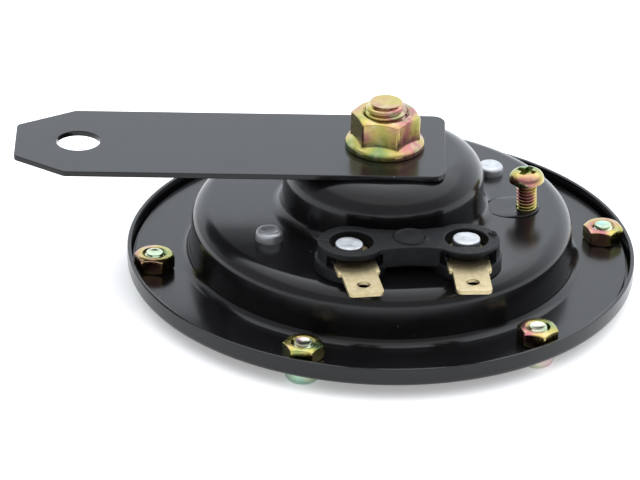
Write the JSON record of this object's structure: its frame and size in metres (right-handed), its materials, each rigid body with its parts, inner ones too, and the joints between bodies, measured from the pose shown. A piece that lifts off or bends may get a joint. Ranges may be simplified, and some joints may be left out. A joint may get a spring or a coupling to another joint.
{
  "type": "car horn",
  "caption": "Electric disc car horn: round pressed shell on a flat bracket, two blade terminals, an adjusting screw, and a diaphragm with a tone disc on its open face.",
  "frame": {"origin": "centre of the bracket's mounting hole, on the face that lies on the boss", "axes": "+X from the mounting hole along the bracket to the horn's axis, +Z out of the bracket's face towards the stud's end, +Y across the bracket, away from the terminals"},
  "size_m": [0.1218, 0.1, 0.0378],
  "materials": {
    "black_enamel": "semi-gloss stove enamel",
    "gasket_board": "pressed fibre sheet",
    "spring_steel": "rolled",
    "tone_steel": "semi-gloss stove enamel",
    "plain_steel": "machined",
    "green_zinc": "pale passivated zinc plating",
    "yellow_zinc": "yellow passivated zinc plating",
    "bobbin_plastic": "moulded",
    "copper_wire": "enamelled copper wire",
    "rivet_aluminium": "upset, bright",
    "block_plastic": "moulded, matt",
    "terminal_brass": "pale stamped brass",
    "insulator_board": "laminated board",
    "contact_metal": "sintered contact metal"
  },
  "bodies": {
    "shell": {"housing": "black_enamel", "front_ring": "black_enamel", "mounting_bracket": "black_enamel", "flange_gasket": "gasket_board", "diaphragm": "spring_steel", "pole_core": "yellow_zinc", "yoke_plate": "plain_steel", "coil_bobbin": "bobbin_plastic", "coil_winding": "copper_wire", "base_plate": "plain_steel", "frame_rivets": "rivet_aluminium", "terminal_block": "block_plastic", "blade_terminal_left": "terminal_brass", "blade_terminal_right": "terminal_brass", "terminal_rivets": "rivet_aluminium", "terminal_insulators": "insulator_board", "coil_tag": "terminal_brass", "fixed_contact_strip": "terminal_brass", "fixed_contact_point": "contact_metal", "moving_contact_point": "contact_metal", "moving_contact_spring": "spring_steel", "spring_block": "insulator_board", "spring_rivet": "rivet_aluminium", "bracket_nut": "yellow_zinc", "flange_screws": "green_zinc", "flange_nuts": "yellow_zinc"},
    "striker": {"armature": "plain_steel", "tone_disc": "tone_steel", "tone_disc_spacer": "plain_steel", "tone_disc_nut": "green_zinc"},
    "adjuster": {"adjusting_screw": "yellow_zinc"}
  },
  "joints": [
    {"name": "armature_stroke", "type": "slide", "parent": "shell", "child": "striker", "axis": [0, 0, 1], "range_m": [-0.0003, 0.0005], "stiffness_N_per_m": 20000, "deforming": ["diaphragm", "moving_contact_spring", "moving_contact_point"]},
    {"name": "adjuster_turn", "type": "hinge", "parent": "shell", "child": "adjuster", "pos_m": [0.08795, 0, -0.0117], "axis": [-0.0523, 0, 0.9986], "range_deg": [-120, 120]}
  ]
}
